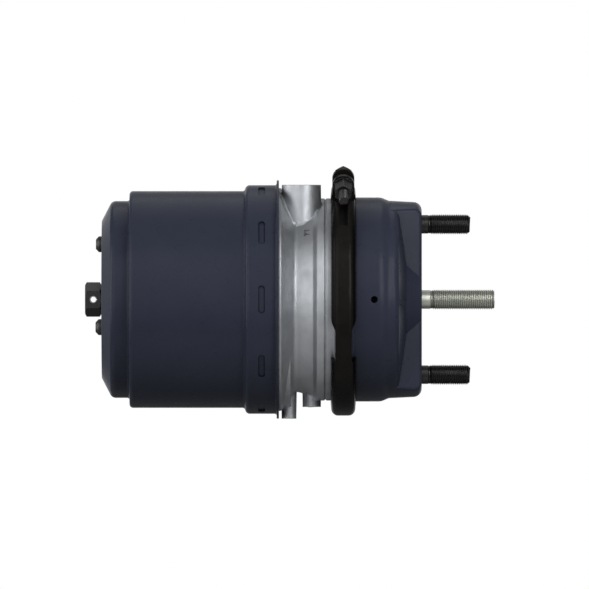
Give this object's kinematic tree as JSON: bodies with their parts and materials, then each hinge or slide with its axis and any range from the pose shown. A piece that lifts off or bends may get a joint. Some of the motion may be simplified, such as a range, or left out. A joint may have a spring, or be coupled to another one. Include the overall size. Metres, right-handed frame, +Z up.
{
  "type": "spring brake actuator",
  "caption": "Combined diaphragm service and spring parking brake actuator with cast flange body, clamp ring, release bolt, mounting studs and threaded push rod.",
  "frame": {"origin": "on the push rod's axis, in the plane of the service housing's mounting face", "axes": "+X along the actuator, out of the push rod; +Z up, through the upper mounting stud; -Y towards the picture's viewer"},
  "size_m": [0.3283, 0.1912, 0.2026],
  "materials": {
    "housing_coat": "satin slate-blue coat over pressed steel",
    "cast_aluminium": "as-cast and machined aluminium",
    "black_steel": "black coated steel, slightly worn",
    "zinc_steel": "bright zinc-plated steel",
    "plain_steel": "plain machined or pressed steel",
    "spring_steel": "dark coated spring wire",
    "rubber": "black moulded rubber",
    "guide_plastic": "pale low-friction plastic",
    "plug_plastic": "black moulded plastic",
    "bush_bronze": "sintered bronze"
  },
  "bodies": {
    "housing": {"spring_housing": "housing_coat", "vent_plugs": "plug_plastic", "release_bush": "black_steel", "flange_body": "cast_aluminium", "flange_seal_ring": "rubber", "tube_guide_bush": "bush_bronze", "tube_seal": "rubber", "tube_seal_retainer": "plain_steel", "diaphragm": "rubber", "service_housing": "housing_coat", "mounting_studs": "black_steel", "rod_dust_seal": "rubber", "spring_washer": "plain_steel", "return_spring": "spring_steel", "clamp_ring": "black_steel", "clamp_bolt": "black_steel", "clamp_nut": "black_steel", "clamp_washers": "black_steel", "power_spring": "spring_steel"},
    "parking_piston_group": {"parking_piston": "cast_aluminium", "piston_seal": "rubber", "piston_guide_ring": "guide_plastic", "power_spring_seat": "plain_steel", "thrust_tube": "plain_steel", "thrust_tube_cap": "plain_steel", "thrust_tube_pad": "guide_plastic"},
    "push_rod_group": {"push_plate": "plain_steel", "push_rod": "zinc_steel"},
    "release_slider": {"release_washer": "plain_steel"},
    "release_bolt_group": {"release_bolt": "black_steel", "release_nut": "black_steel", "release_nut_pin": "plain_steel", "release_collar": "black_steel"}
  },
  "joints": [
    {"name": "parking_stroke", "type": "slide", "parent": "housing", "child": "parking_piston_group", "axis": [1, 0, 0], "range_m": [0, 0.057], "deforming": ["power_spring"]},
    {"name": "push_rod_stroke", "type": "slide", "parent": "housing", "child": "push_rod_group", "axis": [1, 0, 0], "range_m": [0, 0.0571], "stiffness_N_per_m": 1500, "springref_m": -0.04, "deforming": ["return_spring", "diaphragm"]},
    {"name": "release_travel", "type": "slide", "parent": "housing", "child": "release_slider", "axis": [-1, 0, 0], "range_m": [0, 0.058]},
    {"name": "release_turn", "type": "hinge", "parent": "release_slider", "child": "release_bolt_group", "pos_m": [-0.2, 0, 0], "axis": [-1, 0, 0], "range_deg": [0, 10476]}
  ],
  "couplings": [
    {"joint": "push_rod_stroke", "follows": "parking_stroke", "ratio": 1},
    {"joint": "release_turn", "follows": "release_travel", "rad_per_m": 3141.6}
  ]
}
